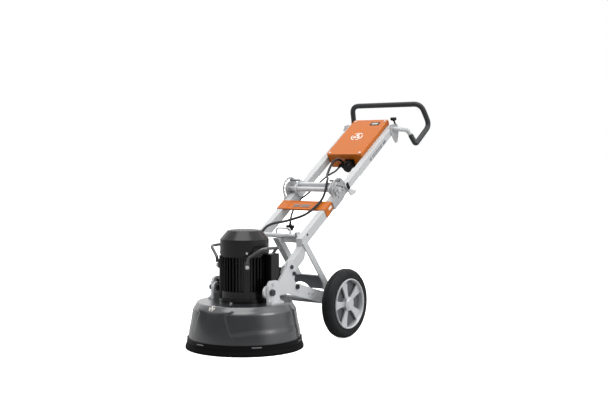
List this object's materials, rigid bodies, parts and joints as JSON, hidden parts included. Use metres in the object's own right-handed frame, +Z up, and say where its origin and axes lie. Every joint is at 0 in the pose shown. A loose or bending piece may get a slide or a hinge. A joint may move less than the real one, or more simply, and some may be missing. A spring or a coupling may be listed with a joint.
{
  "type": "concrete floor grinder",
  "caption": "Walk-behind planetary concrete floor grinder with a motor over a round shroud, two wheels, a folding frame with a control box, and a tilting bow handle.",
  "frame": {"origin": "on the floor, under the middle of the machine's bounding box without its cables", "axes": "+Z up, +Y towards the operator, -Y the grinding head's front, +X to the right for a person who looks along +Y"},
  "size_m": [0.508, 1.4044, 1.0555],
  "materials": {
    "rail_paint": "satin light grey powder coat",
    "plate_paint": "satin light grey powder coat",
    "orange_paint": "satin orange powder coat",
    "zinc": "zinc plated",
    "steel": "machined",
    "shroud_grey": "dark grey satin paint",
    "black_paint": "black semi-gloss paint",
    "cast_grey": "as cast",
    "copper": "enamelled windings",
    "black_plastic": "matt",
    "tyre_black": "solid rubber",
    "black_rubber": "matt",
    "wheel_silver": "satin cast",
    "red_plastic": "gloss",
    "green_plastic": "gloss",
    "grip_black": "soft grip",
    "cable_black": "matt rubber flex"
  },
  "bodies": {
    "chassis": {"lower_rail_left": "rail_paint", "lower_rail_right": "rail_paint", "side_plate_left": "plate_paint", "side_plate_right": "plate_paint", "frame_braces": "rail_paint", "front_cross_member": "zinc", "rear_cross_member": "plate_paint", "bridge_cover": "orange_paint", "fold_plates": "zinc", "axle": "steel", "wheel_bearings": "steel", "chassis_bolts": "zinc", "motor_cable": "cable_black", "mains_lead": "cable_black", "mains_plug": "black_plastic"},
    "wheel_left": {"tyre_left": "tyre_black", "wheel_rim_left": "wheel_silver"},
    "wheel_right": {"tyre_right": "tyre_black", "wheel_rim_right": "wheel_silver"},
    "head": {"shroud_cover": "shroud_grey", "planet_housing": "cast_grey", "motor_housing": "black_paint", "motor_stator": "copper", "motor_end_shields": "black_paint", "head_bearings": "steel", "fan_cowl": "black_paint", "terminal_box": "black_paint", "lifting_handles": "shroud_grey", "ear_plates": "plate_paint", "dust_port": "black_plastic", "head_bolts": "zinc"},
    "dust_skirt": {"dust_skirt": "black_rubber"},
    "rotor": {"motor_shaft": "steel", "cooling_fan": "black_plastic"},
    "carrier": {"planet_carrier": "cast_grey", "spindle_bearings": "steel"},
    "satellite_1": {"planet_spindle_1": "steel", "grinding_disc_1": "cast_grey"},
    "satellite_2": {"planet_spindle_2": "steel", "grinding_disc_2": "cast_grey"},
    "satellite_3": {"planet_spindle_3": "steel", "grinding_disc_3": "cast_grey"},
    "upper_frame": {"upper_rail_left": "rail_paint", "upper_rail_right": "rail_paint", "fold_ears": "plate_paint", "fold_tubes": "zinc", "control_box": "orange_paint", "box_lid": "orange_paint", "upper_bolts": "zinc", "power_inlet": "black_plastic", "cable_glands": "black_plastic", "handle_clamps": "zinc"},
    "inlet_cap": {"inlet_cap": "black_plastic"},
    "clamp_lever": {"clamp_lever": "black_plastic"},
    "lock_pins": {"lock_pins": "steel"},
    "lock_lever": {"lock_lever": "plate_paint"},
    "handle": {"handle_bar": "rail_paint", "handle_grip": "grip_black"},
    "stop_button": {"stop_button": "red_plastic"},
    "start_button": {"start_button": "green_plastic"}
  },
  "joints": [
    {"name": "wheel_left_spin", "type": "hinge", "parent": "chassis", "child": "wheel_left", "pos_m": [-0.2235, -0.0462, 0.15], "axis": [1, 0, 0], "continuous": true},
    {"name": "wheel_right_spin", "type": "hinge", "parent": "chassis", "child": "wheel_right", "pos_m": [0.2235, -0.0462, 0.15], "axis": [1, 0, 0], "continuous": true},
    {"name": "head_tilt", "type": "hinge", "parent": "chassis", "child": "head", "pos_m": [0, -0.4762, 0.237], "axis": [1, 0, 0], "range_deg": [-4, 4], "deforming": ["motor_cable"]},
    {"name": "skirt_float", "type": "slide", "parent": "head", "child": "dust_skirt", "axis": [0, 0, 1], "range_m": [0, 0.012]},
    {"name": "carrier_spin", "type": "hinge", "parent": "head", "child": "carrier", "pos_m": [0, -0.4572, 0.082], "axis": [0, 0, 1], "continuous": true},
    {"name": "rotor_spin", "type": "hinge", "parent": "head", "child": "rotor", "pos_m": [0, -0.4572, 0.3], "axis": [0, 0, 1], "continuous": true},
    {"name": "satellite_1_spin", "type": "hinge", "parent": "carrier", "child": "satellite_1", "pos_m": [0, -0.3372, 0.06], "axis": [0, 0, 1], "continuous": true},
    {"name": "satellite_2_spin", "type": "hinge", "parent": "carrier", "child": "satellite_2", "pos_m": [-0.10392, -0.5172, 0.06], "axis": [0, 0, 1], "continuous": true},
    {"name": "satellite_3_spin", "type": "hinge", "parent": "carrier", "child": "satellite_3", "pos_m": [0.10392, -0.5172, 0.06], "axis": [0, 0, 1], "continuous": true},
    {"name": "frame_fold", "type": "hinge", "parent": "chassis", "child": "upper_frame", "pos_m": [0, 0.03508, 0.63849], "axis": [1, 0, 0], "range_deg": [0, 140], "deforming": ["motor_cable", "mains_lead"]},
    {"name": "handle_tilt", "type": "hinge", "parent": "upper_frame", "child": "handle", "pos_m": [0, 0.5048, 0.918], "axis": [1, 0, 0], "range_deg": [-30, 30]},
    {"name": "clamp_turn", "type": "hinge", "parent": "upper_frame", "child": "clamp_lever", "pos_m": [0.128, 0.52442, 0.94689], "axis": [0, -0.565, 0.8251], "range_deg": [0, 180]},
    {"name": "lock_lever_turn", "type": "hinge", "parent": "upper_frame", "child": "lock_lever", "pos_m": [0.141, 0.10162, 0.64043], "axis": [1, 0, 0], "range_deg": [0, 20]},
    {"name": "lock_pins_slide", "type": "slide", "parent": "upper_frame", "child": "lock_pins", "axis": [0, 0.0976, 0.9952], "range_m": [0, 0.003]},
    {"name": "inlet_cap_hinge", "type": "hinge", "parent": "upper_frame", "child": "inlet_cap", "pos_m": [0.024, 0.25898, 0.75665], "axis": [1, 0, 0], "range_deg": [-100, 0], "stiffness_Nm_per_rad": 0.03},
    {"name": "stop_button_press", "type": "slide", "parent": "upper_frame", "child": "stop_button", "axis": [0, -0.8251, -0.565], "range_m": [0, 0.005], "stiffness_N_per_m": 400},
    {"name": "start_button_press", "type": "slide", "parent": "upper_frame", "child": "start_button", "axis": [0, -0.8251, -0.565], "range_m": [0, 0.003], "stiffness_N_per_m": 300}
  ],
  "couplings": [
    {"joint": "rotor_spin", "follows": "carrier_spin", "ratio": 6.6667},
    {"joint": "satellite_1_spin", "follows": "carrier_spin", "ratio": -2.4286},
    {"joint": "satellite_2_spin", "follows": "carrier_spin", "ratio": -2.4286},
    {"joint": "satellite_3_spin", "follows": "carrier_spin", "ratio": -2.4286},
    {"joint": "lock_pins_slide", "follows": "lock_lever_turn", "m_per_rad": 0.00859}
  ]
}
